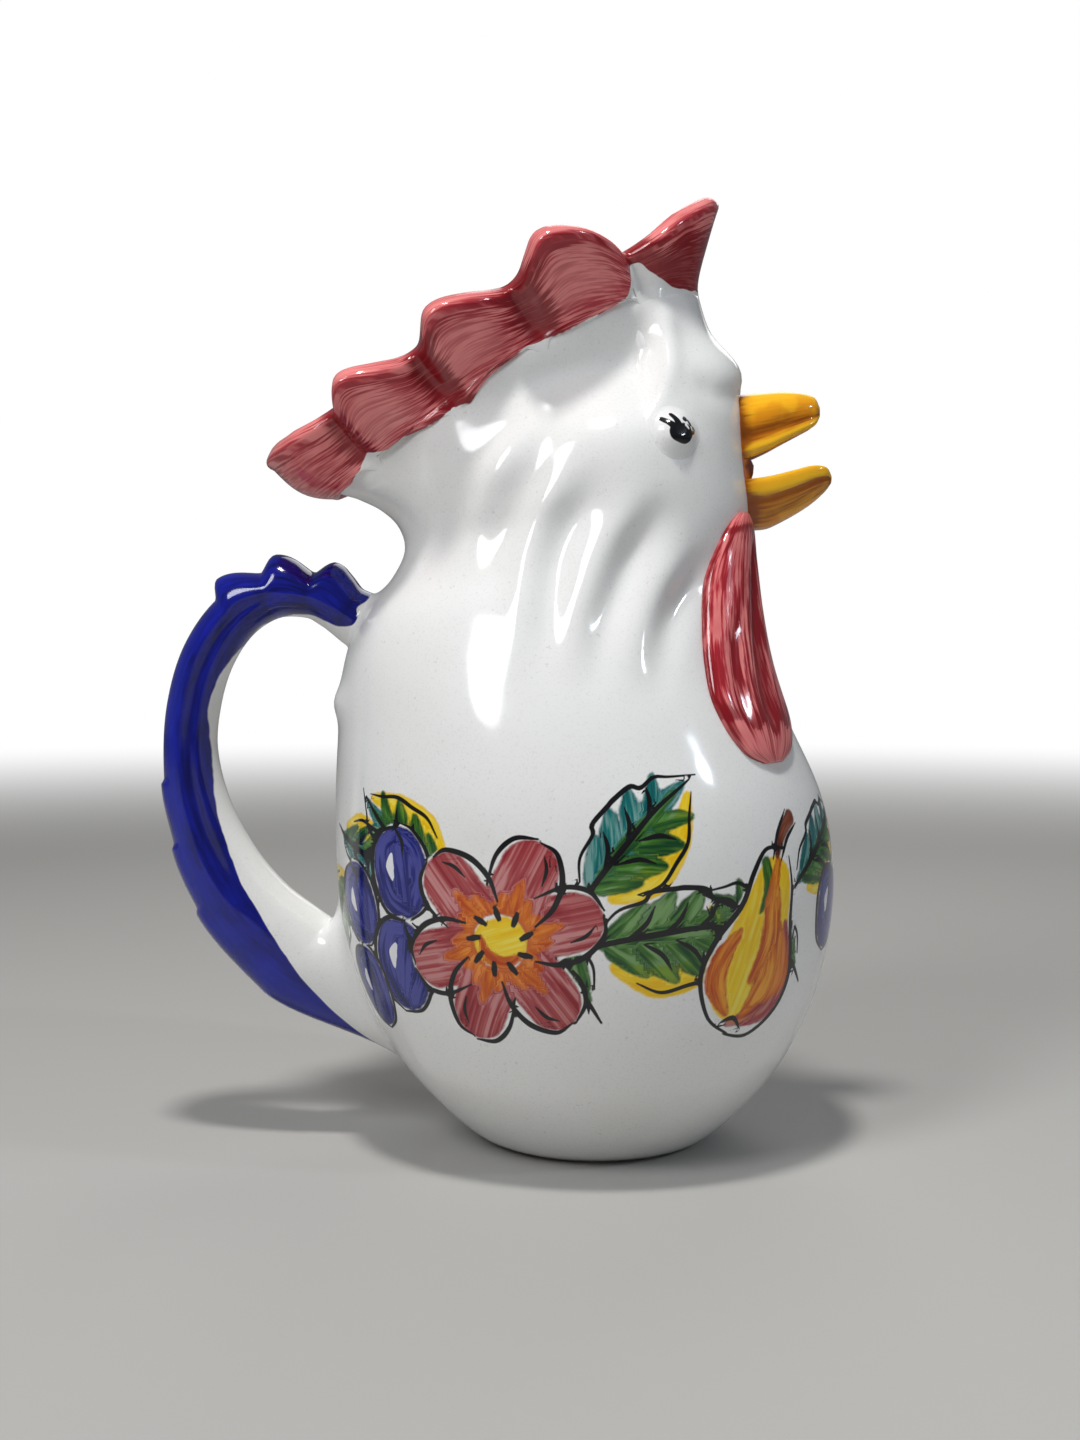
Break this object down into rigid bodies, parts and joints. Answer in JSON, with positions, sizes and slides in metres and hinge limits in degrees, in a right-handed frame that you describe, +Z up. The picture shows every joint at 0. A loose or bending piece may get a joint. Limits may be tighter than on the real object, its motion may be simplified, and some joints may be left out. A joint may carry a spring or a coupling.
{
  "type": "hen-shaped pitcher",
  "caption": "Glazed earthenware pitcher shaped as a standing hen: ruffled comb as the filling mouth, open beak as the spout, side handle as the tail.",
  "frame": {"origin": "centre of the flat foot, on the surface that the pitcher stands on", "axes": "+X towards the beak, +Y towards the hen's left side, +Z up"},
  "size_m": [0.2006, 0.142, 0.28],
  "materials": {
    "white_glaze": "warm white gloss glaze with faint specks and a painted fruit band",
    "red_glaze": "brushed crimson under clear gloss glaze",
    "yellow_glaze": "orange yellow under clear gloss glaze, brown in the creases",
    "blue_glaze": "cobalt blue under clear gloss glaze, white on the inner face"
  },
  "bodies": {
    "root": {"body": "white_glaze", "comb_rim": "red_glaze", "comb_front_point": "red_glaze", "upper_beak": "yellow_glaze", "lower_beak": "yellow_glaze", "wattle_left": "red_glaze", "wattle_right": "red_glaze", "eye_left": "white_glaze", "eye_right": "white_glaze", "handle": "blue_glaze"}
  },
  "joints": []
}
